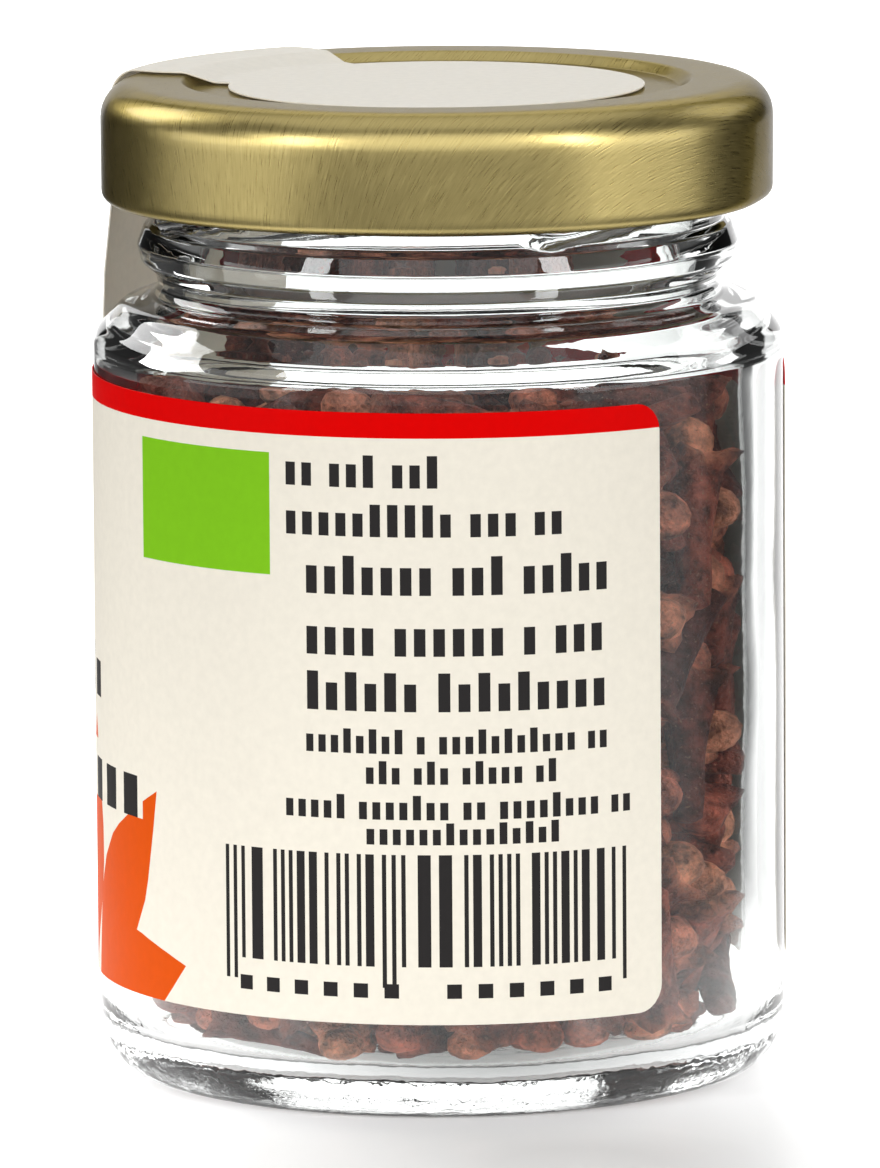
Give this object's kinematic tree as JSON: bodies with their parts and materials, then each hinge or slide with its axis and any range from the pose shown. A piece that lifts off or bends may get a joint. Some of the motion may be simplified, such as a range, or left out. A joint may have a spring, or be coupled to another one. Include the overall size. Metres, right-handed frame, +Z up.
{
  "type": "spice jar of whole cloves",
  "caption": "Small round clear-glass jar filled with whole cloves and shut with a gold twist-off lid, a paper label round its body and a paper seal over the lid's edge.",
  "frame": {"origin": "on the surface that the jar stands on, under the jar's axis", "axes": "+Z up the jar's axis to the lid, -Y to the viewer, +X to the viewer's right; the label's window opens at the front right, between -Y and +X"},
  "size_m": [0.0534, 0.0534, 0.0764],
  "materials": {
    "clear_glass": "clear, polished",
    "gold_tinplate": "gold-lacquered tinplate, satin with a fine rolled grain",
    "label_paper": "coated cream label paper with a red band",
    "seal_paper": "uncoated cream paper",
    "dried_clove": "dull, dry, wrinkled"
  },
  "bodies": {
    "root": {"jar_glass": "clear_glass", "lid": "gold_tinplate", "label": "label_paper", "seal": "seal_paper", "cloves_heap": "dried_clove"}
  },
  "joints": []
}
